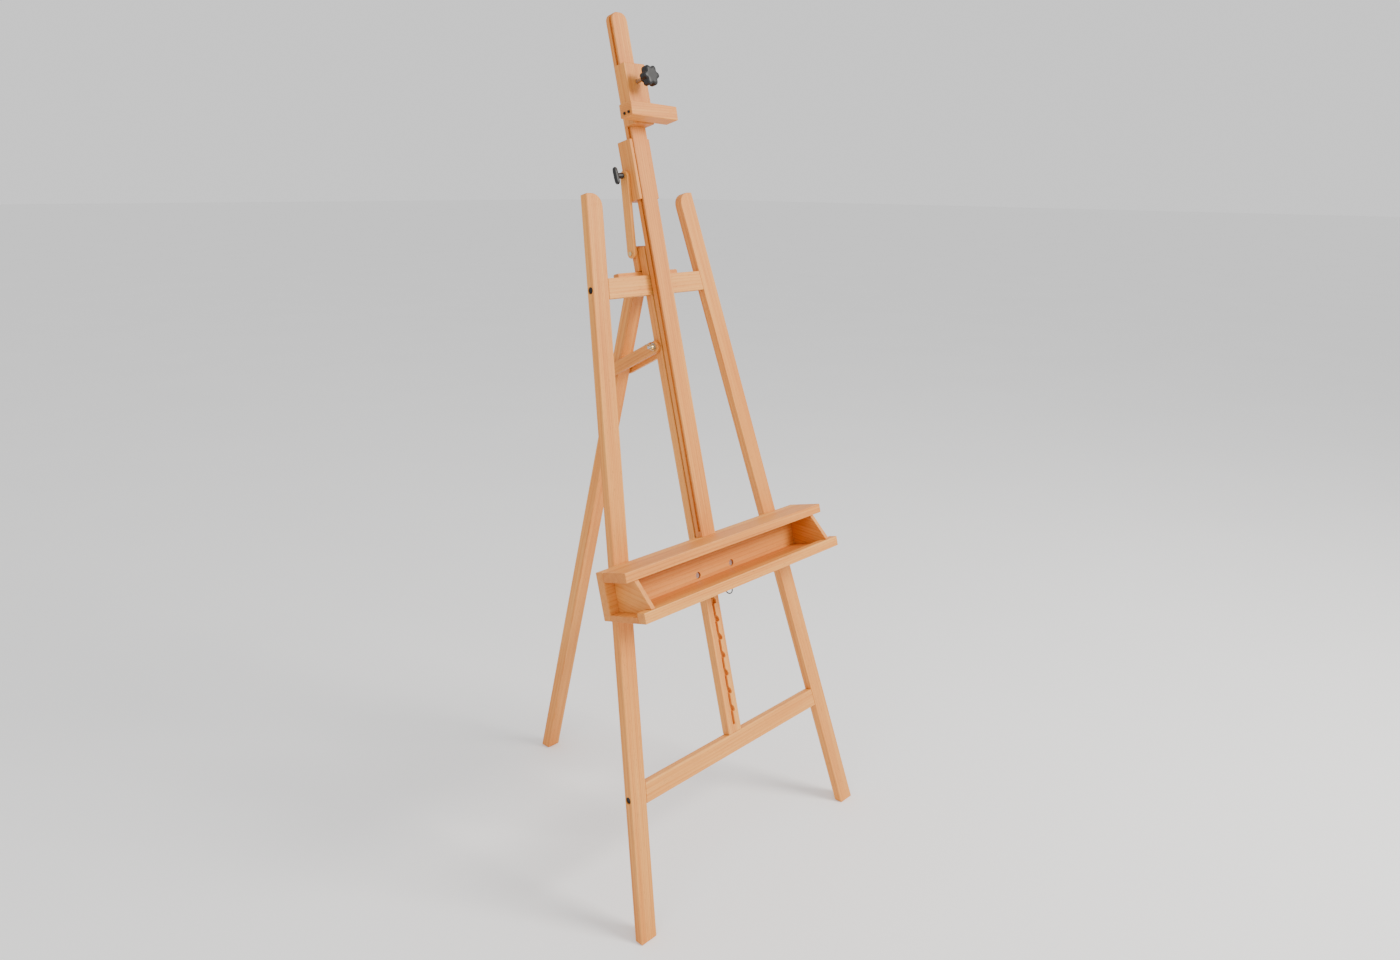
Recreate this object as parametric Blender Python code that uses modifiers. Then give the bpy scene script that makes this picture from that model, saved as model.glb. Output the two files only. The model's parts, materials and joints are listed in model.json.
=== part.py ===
"""A folding wooden studio easel: a leaning A-frame with a toothed rail, a mast with a paint tray that
slides on the rail, a canvas clamp on the mast, and a hinged rear leg held by two stay links.

Metres, +Z up, +Y towards the rear leg, origin on the floor under the middle of the easel.
Pieces of the A-frame are laid out in the frame's own plane, which the lean empty tilts back:
there x runs across the frame, y is the depth behind its front face and z climbs the slope."""

from math import atan2, cos, pi, radians, sin, tan

import bmesh
import bpy
from mathutils import Matrix, Vector

# ---- driving dimensions -------------------------------------------------------------------------
WIDE = 0.040  # planed stock: width
THICK = 0.019  # planed stock: thickness
GAP = 0.0003  # between pieces that touch
EASE = 0.0015  # rounding on the wood's long edges

LEAN = radians(14.07)
LEG_LENGTH = 1.450
FOOT_HALF = 0.352  # outer half width at the floor
TOP_HALF = 0.147  # outer half width at the leg tops
LEG_TOP_ROUND = 0.028

LOWER_BAR_TOP = 0.300
UPPER_BAR_TOP = 1.2846
RAIL_TOP = 1.343
GROOVE_WIDTH = 0.007
GROOVE_DEPTH = 0.008
GROOVE_ENDS = (0.318, 1.225)
TOOTH_PITCH = 0.040
TOOTH_DEEP = 0.007
TOOTH_TALL = 0.016

BLOCK_HALF = 0.085
BLOCK_THICK = 0.0165
BLOCK_SPAN = (1.252, 1.295)
POST_THICK = 0.0125
POST_TOP = 1.347

REAR_ANGLE = radians(15.75)
REAR_WIDE = 0.034
REAR_DEEP = 0.026
KNUCKLE = 0.0034
HINGE_V = 1.281
LEAF_WIDE = 0.032
LEAF_TALL = 0.034
LEAF_THICK = 0.0015

STAY_V = 1.140  # front stay pivot, up the rail
STAY_W = 0.0128
STAY_DROP = 0.210  # rear stay pivot, down the rear leg
STAY_WIDE = 0.025
STAY_THICK = 0.010
BOLT = 0.003
BORE = BOLT + GAP

MAST_HALF = 0.0199
MAST_FRONT = -0.0235
MAST_BACK = -0.0035
MAST_TOP = 1.797
MAST_ROUND = 0.016
MAST_FOOT = 0.645
FOOT_THICK = 0.010  # what the halving leaves of the mast behind the tray
SIDE_GROOVE = (-0.0195, -0.0135)
SIDE_GROOVE_DEEP = 0.0044

TRAY_BACK = (-0.0235, -0.0035)  # depth of the board behind the tray
TRAY_BACK_HALF = 0.299
TRAY_BACK_SPAN = (0.640, 0.736)
LEDGE_HALF = 0.299
LEDGE_SPAN = (0.7165, 0.736)
LEDGE_FRONT = -0.088
TRAY_FLOOR_SPAN = (0.640, 0.6525)
LIP_HALF = 0.299
LIP_DEPTH = (-0.1215, -0.1015)
LIP_TOP = 0.661
END_OUTER = 0.2755
END_THICK = 0.010
CARRIAGE_X = 0.0514
CARRIAGE_V = 0.6635
CARRIAGE_SPAN = (0.644, 0.684)
CARRIAGE_HALF = 0.078

CHANNEL = 0.0205  # half width of the channels that the mast runs in
CHANNEL_FLOOR = -0.0030
TONGUE = (-0.0190, -0.0140)  # depth of the tongues that run in the mast's side grooves
TONGUE_REACH = 0.0036
GUIDE_SPAN = (1.433, 1.552)
GUIDE_DEPTH = (-0.0205, 0.0168)
CHEEK_OUTER = 0.0270
ARM_THICK = 0.0075
ARM_WIDE = 0.021
ARM_PAST_FOOT = 0.010
ARM_PAST_HEAD = 0.010
ARM_FOOT = (0.0255, 1.333)  # depth and height of the arms' pivot
ARM_HEAD = (0.0070, 1.485)  # depth and height of the guide bolt

CLAMP_HALF = 0.028
CLAMP_DEPTH = (-0.042, -0.0142)
CLAMP_SPAN = (1.575, 1.693)
LIP_BAR_HALF = 0.0625
LIP_BAR_DEPTH = (-0.0765, -0.0423)
LIP_BAR_SPAN = (1.578, 1.605)
LIP_BAR_TILT = radians(2.8)
KNOB_V = 1.657
KNOB_RADIUS = 0.021
KNOB_DEPTH = (-0.087, -0.069)
STUD = 0.004

PAWL_V = 0.6265
PAWL_THICK = 0.0025
PAWL_PIVOT = -0.0290
PAWL_FRONT = -0.0510
RING_RADIUS = 0.010
RING_WIRE = 0.0012


# ---- scene, materials and small helpers ---------------------------------------------------------
def clear_scene():
    for obj in list(bpy.data.objects):
        bpy.data.objects.remove(obj, do_unlink=True)


def collection(name):
    made = bpy.data.collections.new(name)
    bpy.context.scene.collection.children.link(made)
    return made


def material(name, colour, roughness, metallic=0.0):
    made = bpy.data.materials.new(name)
    made.use_nodes = True
    shader = made.node_tree.nodes["Principled BSDF"]
    shader.inputs["Base Color"].default_value = (*colour, 1.0)
    shader.inputs["Roughness"].default_value = roughness
    shader.inputs["Metallic"].default_value = metallic
    return made


clear_scene()
PARTS = collection("studio_easel")
CUTTERS = collection("cutters")
BEECH = material("oiled_beech", (0.72, 0.42, 0.18), 0.45)
STEEL = material("zinc_steel", (0.55, 0.55, 0.56), 0.35, 1.0)
DARK_STEEL = material("blackened_steel", (0.05, 0.05, 0.055), 0.45, 1.0)
BRASS = material("brass", (0.78, 0.62, 0.32), 0.3, 1.0)
PLASTIC = material("black_plastic", (0.015, 0.015, 0.016), 0.4)


def empty(name, place=(0, 0, 0), turn=(0, 0, 0), parent=None):
    made = bpy.data.objects.new(name, None)
    made.location = place
    made.rotation_euler = turn
    made.parent = parent
    PARTS.objects.link(made)
    return made


def put(name, mesh, finish, parent, place=(0, 0, 0), turn=(0, 0, 0)):
    """An object of the easel, or a cutter when finish is None."""
    obj = bpy.data.objects.new(name, mesh)
    obj.location = place
    obj.rotation_euler = turn
    obj.parent = parent
    if finish is None:
        CUTTERS.objects.link(obj)
        obj.hide_render = True
        obj.display_type = "WIRE"
    else:
        PARTS.objects.link(obj)
        mesh.materials.append(finish)
    return obj


def mesh_of(bm, name):
    bmesh.ops.recalc_face_normals(bm, faces=bm.faces)
    mesh = bpy.data.meshes.new(name)
    bm.to_mesh(mesh)
    bm.free()
    return mesh


def ease(obj, width=EASE, segments=2):
    mod = obj.modifiers.new("eased_edges", "BEVEL")
    mod.width = width
    mod.segments = segments
    mod.limit_method = "ANGLE"
    mod.angle_limit = radians(30)
    return obj


def smooth(obj):
    obj.data.shade_smooth()
    obj.data.set_sharp_from_angle(angle=radians(35))
    return obj


def boolean(obj, other, operation):
    mod = obj.modifiers.new(operation.lower(), "BOOLEAN")
    mod.operation = operation
    mod.solver = "EXACT"
    mod.object = other
    return obj


def box(name, low, high, finish=None, parent=None, turn=(0, 0, 0)):
    """A box between two corners, with its origin at its middle."""
    low = Vector(low)
    high = Vector(high)
    bm = bmesh.new()
    bmesh.ops.create_cube(bm, size=1.0)
    bmesh.ops.scale(bm, vec=high - low, verts=bm.verts)
    return put(name, mesh_of(bm, name), finish, parent, (low + high) / 2, turn)


def board(name, low, high, finish, parent, width=EASE):
    return ease(box(name, low, high, finish, parent), width)


def rod(name, radius, start, end, finish=None, parent=None, sides=24):
    """A cylinder between two points, with its origin halfway."""
    start = Vector(start)
    end = Vector(end)
    bm = bmesh.new()
    bmesh.ops.create_cone(bm, cap_ends=True, segments=sides, radius1=radius, radius2=radius,
                          depth=(end - start).length)
    turn = (end - start).to_track_quat("Z", "Y").to_euler()
    return smooth(put(name, mesh_of(bm, name), finish, parent, (start + end) / 2, turn))


def drill(obj, radius, start, end, sides=24):
    """A round hole through obj, in its parent's space."""
    cutter = rod(obj.name + "_hole", radius, start, end, None, obj.parent, sides)
    return boolean(obj, cutter, "DIFFERENCE")


def carve(obj, low, high):
    """A square-cornered recess in obj, in its parent's space."""
    cutter = box(obj.name + "_recess", low, high, None, obj.parent)
    return boolean(obj, cutter, "DIFFERENCE")


def join(obj, other):
    return boolean(obj, other, "UNION")


FACING = {  # how an outline's x, y and thickness lie in its parent's space
    "x": (pi / 2, 0, pi / 2),  # depth, height; thickness across
    "y": (pi / 2, 0, 0),  # across, height; thickness in depth
    "z": (0, 0, 0),  # across, depth; thickness up the slope
}


def plate(name, outline, thickness, facing, place, finish=None, parent=None):
    """A flat outline given a thickness, centred on place."""
    curve = bpy.data.curves.new(name, "CURVE")
    curve.dimensions = "2D"
    curve.fill_mode = "BOTH"
    curve.extrude = thickness / 2
    spline = curve.splines.new("POLY")
    spline.points.add(len(outline) - 1)
    for point, (x, y) in zip(spline.points, outline):
        point.co = (x, y, 0, 1)
    spline.use_cyclic_u = True
    flat = bpy.data.objects.new(name + "_outline", curve)
    PARTS.objects.link(flat)
    graph = bpy.context.evaluated_depsgraph_get()
    mesh = bpy.data.meshes.new_from_object(flat.evaluated_get(graph))
    bpy.data.objects.remove(flat, do_unlink=True)
    bpy.data.curves.remove(curve)
    bm = bmesh.new()
    bm.from_mesh(mesh)
    bpy.data.meshes.remove(mesh)
    bmesh.ops.remove_doubles(bm, verts=bm.verts, dist=1e-6)
    return smooth(put(name, mesh_of(bm, name), finish, parent, place, FACING[facing]))


def arc(centre, radius, start, end, steps):
    """Points on a circle from one angle to another, in degrees."""
    angles = [radians(start + (end - start) * i / steps) for i in range(steps + 1)]
    return [(centre[0] + radius * cos(a), centre[1] + radius * sin(a)) for a in angles]


def strap_outline(length, width, over):
    """A strip along y from -over to length + over, its ends half round."""
    half = width / 2
    lower = arc((0, half - over), half, 180, 360, 10)
    upper = arc((0, length + over - half), half, 0, 180, 10)
    return lower + upper


# ---- the leaning A-frame ------------------------------------------------------------------------
def tilted(depth, height):
    """A point of the frame's plane as y and z, measured from the front feet."""
    return (height * sin(LEAN) + depth * cos(LEAN), height * cos(LEAN) - depth * sin(LEAN))


HINGE_W = THICK + GAP + BLOCK_THICK + GAP + KNUCKLE
HINGE_FROM_FEET, HINGE_Z = tilted(HINGE_W, HINGE_V)
REAR_FACE = KNUCKLE + GAP
REAR_MIDDLE = REAR_FACE + REAR_DEEP / 2
REAR_HEEL = REAR_FACE + REAR_DEEP
HEEL_Z = HINGE_Z + REAR_HEEL * sin(REAR_ANGLE)
FEET_APART = HINGE_FROM_FEET + REAR_HEEL * cos(REAR_ANGLE) + HEEL_Z * tan(REAR_ANGLE)
HINGE_Y = HINGE_FROM_FEET - FEET_APART / 2
LEANING = empty("lean", (0, -FEET_APART / 2, 0), (-LEAN, 0, 0))


def in_world(depth, height):
    y, z = tilted(depth, height)
    return (y - FEET_APART / 2, z)


def leg_half(height):
    """Outer half width of the A-frame at a height up the slope."""
    return FOOT_HALF + (TOP_HALF - FOOT_HALF) * height / LEG_LENGTH


def shaped_board(name, place_corner, round_top=0.0):
    """A board whose eight corners come from a function of (across, deep, high), each -1 or 1."""
    bm = bmesh.new()
    bmesh.ops.create_cube(bm, size=2.0)
    for vert in bm.verts:
        vert.co = place_corner(*vert.co)
    bmesh.ops.recalc_face_normals(bm, faces=bm.faces)
    if round_top:
        top = max(v.co.z for v in bm.verts)
        upper = [v for v in bm.verts if abs(v.co.z - top) < 1e-6]
        inner = min(abs(v.co.x) for v in upper)
        inside = [v for v in upper if abs(abs(v.co.x) - inner) < 1e-6]
        corner = [e for e in bm.edges if all(v in inside for v in e.verts)]
        bmesh.ops.bevel(bm, geom=corner, offset=round_top, segments=7, profile=0.5, affect="EDGES")
    return ease(put(name, mesh_of(bm, name), BEECH, LEANING))


def make_leg(name, side):
    """A straight leg, splayed to one side, its foot cut level with the floor and its inner top corner round."""
    def corner(across, deep, high):
        depth = THICK * (deep + 1) / 2
        height = LEG_LENGTH if high > 0 else depth * tan(LEAN)
        inner = 0.0 if across > 0 else WIDE
        return (side * (leg_half(height) - inner), depth, height)
    return shaped_board(name, corner, LEG_TOP_ROUND)


def make_crossbar(name, top):
    """A rail between the legs, its ends cut to their splay."""
    def corner(across, deep, high):
        height = top if high > 0 else top - WIDE
        return (across * (leg_half(height) - WIDE - GAP), THICK * (deep + 1) / 2, height)
    return shaped_board(name, corner)


def bolt_crossbar(bar, top, place, legs):
    """One bolt at each end, through the leg and into the end grain, its head sunk in the leg."""
    height = top - WIDE / 2
    depth = THICK / 2
    for side, leg in legs.items():
        outer = side * leg_half(height)
        head = outer - side * 0.006
        tip = outer - side * 0.085
        drill(leg, 0.0070, (outer + side * 0.02, depth, height), (head, depth, height))
        drill(leg, 0.0040 + GAP, (outer, depth, height), (outer - side * 0.06, depth, height))
        drill(bar, 0.0040 + GAP, (outer - side * 0.03, depth, height), (tip - side * 0.002, depth, height))
        word = "left" if side < 0 else "right"
        bolt = rod(f"{place}_bolt_{word}", 0.0040, (head + side * 0.001, depth, height),
                   (tip, depth, height),
                   DARK_STEEL, LEANING)
        join(bolt, rod(bolt.name + "_head", 0.0062, (head + side * GAP, depth, height),
                       (head + side * 0.0048, depth, height), None, LEANING))


def make_frame():
    legs = {-1: make_leg("left_leg", -1), 1: make_leg("right_leg", 1)}
    lower = make_crossbar("lower_crossbar", LOWER_BAR_TOP)
    upper = make_crossbar("upper_crossbar", UPPER_BAR_TOP)
    bolt_crossbar(lower, LOWER_BAR_TOP, "lower", legs)
    bolt_crossbar(upper, UPPER_BAR_TOP, "upper", legs)
    half = WIDE / 2
    carve(upper, (-half - GAP, THICK / 2, UPPER_BAR_TOP - 0.05),
          (half + GAP, THICK + 0.002, UPPER_BAR_TOP + 0.01))


def groove_outline():
    """The rail's groove seen from the front: straight on the left, a row of ratchet notches on the right.
    Each notch has a level floor that carries the pawl and a slope that lets it ride up."""
    half = GROOVE_WIDTH / 2
    low, high = GROOVE_ENDS
    floor = PAWL_V - 0.001
    below = int((floor - low) / TOOTH_PITCH)
    start = floor - below * TOOTH_PITCH
    count = int((high - TOOTH_TALL - start) / TOOTH_PITCH) + 1
    right = [(half, low)]
    for i in range(count):
        z = start + i * TOOTH_PITCH
        right += [(half, z), (half + TOOTH_DEEP * 0.8, z), (half + TOOTH_DEEP, z + TOOTH_TALL * 0.25),
                  (half + TOOTH_DEEP * 0.8, z + TOOTH_TALL * 0.6), (half, z + TOOTH_TALL)]
    right.append((half, high))
    return right + [(-half, high), (-half, low)]


def make_rail():
    half = WIDE / 2
    rail = board("toothed_rail", (-half, 0, LOWER_BAR_TOP + GAP), (half, THICK, RAIL_TOP), BEECH, LEANING)
    lap = (UPPER_BAR_TOP - WIDE - GAP, UPPER_BAR_TOP + GAP)
    carve(rail, (-half - 0.002, -0.002, lap[0]), (half + 0.002, THICK / 2 + GAP, lap[1]))
    depth = GROOVE_DEPTH + 0.002
    cutter = plate("rail_groove", groove_outline(), depth, "y", (0, GROOVE_DEPTH - depth / 2, 0), None,
                   LEANING)
    boolean(rail, cutter, "DIFFERENCE")
    drill(rail, BORE, (-0.03, STAY_W, STAY_V), (0.03, STAY_W, STAY_V))


def screw(name, radius, head_radius, head, tip, parent, finish=STEEL):
    """A screw from its head's outer face to its tip, with a low domed head."""
    head = Vector(head)
    tip = Vector(tip)
    along = (tip - head).normalized()
    shank = rod(name, radius, head + along * 0.001, tip, finish, parent, 16)
    return join(shank, rod(name + "_head", head_radius, head, head + along * 0.002, None, parent, 20))


def make_hinge_block():
    back = THICK + GAP
    block = box("hinge_block", (-BLOCK_HALF, back, BLOCK_SPAN[0]),
                (BLOCK_HALF, back + BLOCK_THICK, BLOCK_SPAN[1]),
                BEECH, LEANING)
    ease(block, 0.003)
    post = board("arm_post", (-CHEEK_OUTER, back, BLOCK_SPAN[1] + GAP),
                 (CHEEK_OUTER, back + POST_THICK, POST_TOP),
                 BEECH, LEANING)
    for side, word in ((-1, "left"), (1, "right")):
        x = side * 0.065
        z = sum(BLOCK_SPAN) / 2
        drill(block, 0.0025 + GAP, (x, 0, z), (x, 0.05, z))
        name = f"hinge_block_screw_{word}"
        screw(name, 0.0025, 0.0050, (x, back + BLOCK_THICK + 0.0023, z), (x, back + GAP, z), LEANING)
        depth, height = ARM_FOOT
        drill(post, 0.0020 + GAP, (side * 0.012, depth, height), (side * 0.04, depth, height), 16)


# ---- the rear leg, its hinge and the stay links ---------------------------------------------------
REAR = empty("rear_leg_axis", (0, HINGE_Y, HINGE_Z), (REAR_ANGLE, 0, 0))


def make_rear_leg():
    """Hangs from the hinge axis, its foot cut level with the floor."""
    bm = bmesh.new()
    bmesh.ops.create_cube(bm, size=2.0)
    for vert in bm.verts:
        across, deep, high = vert.co
        depth = REAR_FACE + REAR_DEEP * (deep + 1) / 2
        foot = -(HINGE_Z + depth * sin(REAR_ANGLE)) / cos(REAR_ANGLE)
        vert.co = (across * REAR_WIDE / 2, depth, 0.004 if high > 0 else foot)
    leg = ease(put("rear_leg", mesh_of(bm, "rear_leg"), BEECH, REAR))
    drill(leg, BORE, (-0.03, REAR_MIDDLE, -STAY_DROP), (0.03, REAR_MIDDLE, -STAY_DROP))
    for x in (-0.009, 0.009):
        drill(leg, 0.0015 + GAP, (x, 0, -0.022), (x, 0.018, -0.022), 12)


def leaf(name, knuckles, parent, centre, side):
    """A hinge leaf: a thin plate hanging from its knuckles, on one side (-1 front, 1 back) of the pin."""
    _, y, z = centre
    faces = sorted((y + side * KNUCKLE, y + side * (KNUCKLE - LEAF_THICK)))
    plate_obj = box(name, (-LEAF_WIDE / 2, faces[0], z - LEAF_TALL), (LEAF_WIDE / 2, faces[1], z - 0.0005),
                    STEEL, parent)
    for i, (x0, x1) in enumerate(knuckles):
        join(plate_obj, rod(f"{name}_knuckle_{i}", KNUCKLE, (x0, y, z), (x1, y, z), None, parent, 20))
    return plate_obj


def make_hinge():
    """A three-knuckle butt hinge between the hinge block and the rear leg."""
    third = LEAF_WIDE / 6
    outer = [(-LEAF_WIDE / 2, -third - GAP), (third + GAP, LEAF_WIDE / 2)]
    inner = [(-third, third)]
    front = leaf("hinge_leaf_frame", outer, LEANING, (0, HINGE_W, HINGE_V), -1)
    back = leaf("hinge_leaf_leg", inner, REAR, (0, 0, 0), 1)
    reach = KNUCKLE + 0.0006
    carve(front, (-third - GAP, HINGE_W - reach, HINGE_V - reach),
          (third + GAP, HINGE_W + reach, HINGE_V + reach))
    carve(back, (-0.03, -reach, -reach), (-third, reach, reach))
    carve(back, (third, -reach, -reach), (0.03, reach, reach))
    for obj, y, z in ((front, HINGE_W, HINGE_V), (back, 0, 0)):
        drill(obj, 0.0015 + GAP, (-0.03, y, z), (0.03, y, z), 16)
    rod("hinge_pin", 0.0015, (-LEAF_WIDE / 2 - 0.001, HINGE_W, HINGE_V),
        (LEAF_WIDE / 2 + 0.001, HINGE_W, HINGE_V), STEEL, LEANING, 16)
    for i, x in enumerate((-0.009, 0.009)):
        low = REAR_FACE - GAP - LEAF_THICK
        drill(back, 0.0015 + GAP, (x, 0, -0.022), (x, 0.018, -0.022), 12)
        screw(f"hinge_screw_{i + 1}", 0.0015, 0.0028, (x, low - 0.0023, -0.022), (x, 0.017, -0.022), REAR)


def make_stays():
    """Two wooden links from the rear leg to the rail. Their front ends hang on the wing-nut bolt by an
    open notch, so that they drop away when the leg folds."""
    front_y, front_z = in_world(STAY_W, STAY_V)
    rear_y = HINGE_Y + REAR_MIDDLE * cos(REAR_ANGLE) + STAY_DROP * sin(REAR_ANGLE)
    rear_z = HINGE_Z + REAR_MIDDLE * sin(REAR_ANGLE) - STAY_DROP * cos(REAR_ANGLE)
    reach_y = front_y - rear_y
    reach_z = front_z - rear_z
    length = (reach_y ** 2 + reach_z ** 2) ** 0.5
    pivot = empty("stay_axis", (0, rear_y, rear_z), (atan2(reach_z, reach_y) - pi / 2, 0, 0))
    outline = strap_outline(length, STAY_WIDE, STAY_WIDE / 2)
    seat = BORE + 0.0005
    hook = arc((0, length), seat, 90, 270, 10) + [(0.020, length - seat - 0.004), (0.020, length + seat)]
    inner = WIDE / 2 + GAP
    outer = inner + STAY_THICK
    for side, word in ((-1, "left"), (1, "right")):
        middle = side * (inner + outer) / 2
        link = ease(plate(f"stay_link_{word}", outline, STAY_THICK, "x", (middle, 0, 0), BEECH, pivot),
                    0.001, 1)
        drill(link, BORE, (side * 0.015, 0, 0), (side * 0.035, 0, 0))
        notch = plate(link.name + "_notch", hook, STAY_THICK + 0.004, "x", (middle, 0, 0), None, pivot)
        boolean(link, notch, "DIFFERENCE")
        spacer = rod(f"stay_spacer_{word}", 0.008, (side * (REAR_WIDE / 2 + GAP), REAR_MIDDLE, -STAY_DROP),
                     (side * (inner - GAP), REAR_MIDDLE, -STAY_DROP), STEEL, REAR)
        drill(spacer, BORE, (-0.04, REAR_MIDDLE, -STAY_DROP), (0.04, REAR_MIDDLE, -STAY_DROP))
    end = outer + GAP
    rear = rod("stay_rear_bolt", BOLT, (-end - 0.001, REAR_MIDDLE, -STAY_DROP),
               (end + 0.008, REAR_MIDDLE, -STAY_DROP),
               DARK_STEEL, REAR)
    join(rear, rod("stay_rear_bolt_head", 0.0065, (-end - 0.004, REAR_MIDDLE, -STAY_DROP),
                   (-end, REAR_MIDDLE, -STAY_DROP), None, REAR))
    nut = rod("stay_rear_nut", 0.0058, (end, REAR_MIDDLE, -STAY_DROP),
              (end + 0.005, REAR_MIDDLE, -STAY_DROP),
              DARK_STEEL, REAR, 6)
    drill(nut, BORE, (end - 0.01, REAR_MIDDLE, -STAY_DROP), (end + 0.01, REAR_MIDDLE, -STAY_DROP))
    bolt = rod("stay_front_bolt", BOLT, (-end - 0.014, STAY_W, STAY_V), (end + 0.001, STAY_W, STAY_V),
               STEEL, LEANING)
    join(bolt, rod("stay_front_bolt_head", 0.0075, (end, STAY_W, STAY_V), (end + 0.003, STAY_W, STAY_V),
                   None, LEANING))
    washer = rod("stay_washer", 0.008, (-end - 0.0012, STAY_W, STAY_V), (-end, STAY_W, STAY_V), STEEL,
                 LEANING)
    drill(washer, BORE, (-0.05, STAY_W, STAY_V), (0.0, STAY_W, STAY_V))
    make_wing_nut(-end - 0.0012 - GAP)


def make_wing_nut(seat):
    """A hub with two upswept wings, on the left end of the front stay bolt."""
    pivot = empty("wing_nut_axis", (seat, STAY_W, STAY_V), (radians(35), 0, 0), LEANING)
    nut = rod("wing_nut", 0.0060, (0, 0, 0), (-0.008, 0, 0), BRASS, pivot)
    wing = [(0.0035, 0.001), (0.0090, 0.003), (0.0155, 0.0095), (0.0150, 0.0130), (0.0110, 0.0135),
            (0.0060, 0.0090), (0.0035, 0.0075)]
    for side in (-1, 1):
        outline = [(-x, side * y) for y, x in wing]
        flat = plate(f"wing_{side + 2}", outline if side < 0 else outline[::-1], 0.0025, "z", (0, 0, 0),
                     None, pivot)
        join(nut, flat)
    drill(nut, BORE, (0.002, 0, 0), (-0.02, 0, 0))


# ---- the guide behind the mast ----------------------------------------------------------------------
def make_guide():
    """A block that the mast slides through, carried by two arms on the post."""
    low, high = GUIDE_SPAN
    depth, height = ARM_HEAD
    block = board("guide_block", (-CHEEK_OUTER, GUIDE_DEPTH[0], low), (CHEEK_OUTER, GUIDE_DEPTH[1], high),
                  BEECH, LEANING)
    carve(block, (-CHANNEL, GUIDE_DEPTH[0] - 0.002, low - 0.005), (CHANNEL, CHANNEL_FLOOR, high + 0.005))
    for side in (-1, 1):
        x = sorted((side * (CHANNEL + 0.002), side * (CHANNEL - TONGUE_REACH)))
        join(block,
             box(f"guide_tongue_{side + 2}", (x[0], TONGUE[0], low + 0.002),
                 (x[1], TONGUE[1], high - 0.002),
                        None, LEANING))
    drill(block, BORE, (-0.04, depth, height), (0.04, depth, height))
    foot_w, foot_v = ARM_FOOT
    length = ((depth - foot_w) ** 2 + (height - foot_v) ** 2) ** 0.5
    turn = atan2(foot_w - depth, height - foot_v)
    half = ARM_WIDE / 2
    outline = arc((0, half - ARM_PAST_FOOT), half, 180, 360, 10)
    outline += arc((0, length + ARM_PAST_HEAD - half), half, 0, 180, 10)
    for side, word in ((-1, "left"), (1, "right")):
        pivot = empty(f"arm_{word}_axis", (side * (CHEEK_OUTER + GAP + ARM_THICK / 2), foot_w, foot_v),
                      (turn, 0, 0), LEANING)
        arm = ease(plate(f"guide_arm_{word}", outline, ARM_THICK, "x", (0, 0, 0), BEECH, pivot), 0.001, 1)
        drill(arm, 0.0020 + GAP, (-0.01, 0, 0), (0.01, 0, 0), 16)
        drill(arm, BORE, (-0.01, 0, length), (0.01, 0, length))
        outer = side * (CHEEK_OUTER + GAP + ARM_THICK + GAP)
        screw(f"arm_screw_{word}", 0.0020, 0.0045, (outer + side * 0.002, foot_w, foot_v),
              (side * 0.014, foot_w, foot_v), LEANING, BRASS)
    end = CHEEK_OUTER + GAP + ARM_THICK + GAP
    bolt = rod("guide_bolt", BOLT, (-end - 0.018, depth, height), (end + 0.001, depth, height), STEEL,
               LEANING)
    join(bolt,
         rod("guide_bolt_head", 0.0065, (end, depth, height), (end + 0.004, depth, height), None, LEANING))
    make_arm_knob(-end - 0.003, depth, height)


def make_arm_knob(seat, depth, height):
    """A black T-shaped knob that locks the arms to the guide."""
    pivot = empty("arm_knob_axis", (seat, depth, height), (radians(-8), 0, 0), LEANING)
    knob = rod("arm_knob", 0.0060, (0, 0, 0), (-0.0160, 0, 0), PLASTIC, pivot)
    grip = box("arm_knob_grip", (-0.0210, -0.0050, -0.0175), (-0.0120, 0.0050, 0.0175), None, pivot)
    ease(grip, 0.0035, 3)
    join(knob, grip)
    drill(knob, BORE, (0.01, 0, 0), (-0.0165, 0, 0))


# ---- the mast, its tray and the rail carriage -------------------------------------------------------
def make_mast():
    """One long bar with a rounded top, a groove down each side and a halved foot."""
    half = MAST_HALF
    bm = bmesh.new()
    bmesh.ops.create_cube(bm, size=2.0)
    for vert in bm.verts:
        across, deep, high = vert.co
        vert.co = (across * half, MAST_BACK if deep > 0 else MAST_FRONT,
                   MAST_TOP if high > 0 else MAST_FOOT)
    shoulders = [e for e in bm.edges if all(v.co.z > 1 for v in e.verts)
                 and abs(e.verts[0].co.y - e.verts[1].co.y) > 0.01]
    bmesh.ops.bevel(bm, geom=shoulders, offset=MAST_ROUND, segments=6, profile=0.5, affect="EDGES")
    mast = ease(put("mast", mesh_of(bm, "mast"), BEECH, LEANING))
    carve(mast, (-0.03, MAST_FRONT - 0.005, MAST_FOOT - 0.01),
          (0.03, MAST_BACK - FOOT_THICK, TRAY_BACK_SPAN[1] + GAP))
    for side in (-1, 1):
        x = sorted((side * (half - SIDE_GROOVE_DEEP), side * (half + 0.002)))
        carve(mast, (x[0], SIDE_GROOVE[0], TRAY_BACK_SPAN[1] + 0.012),
              (x[1], SIDE_GROOVE[1], MAST_TOP + 0.01))
    return mast


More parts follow.
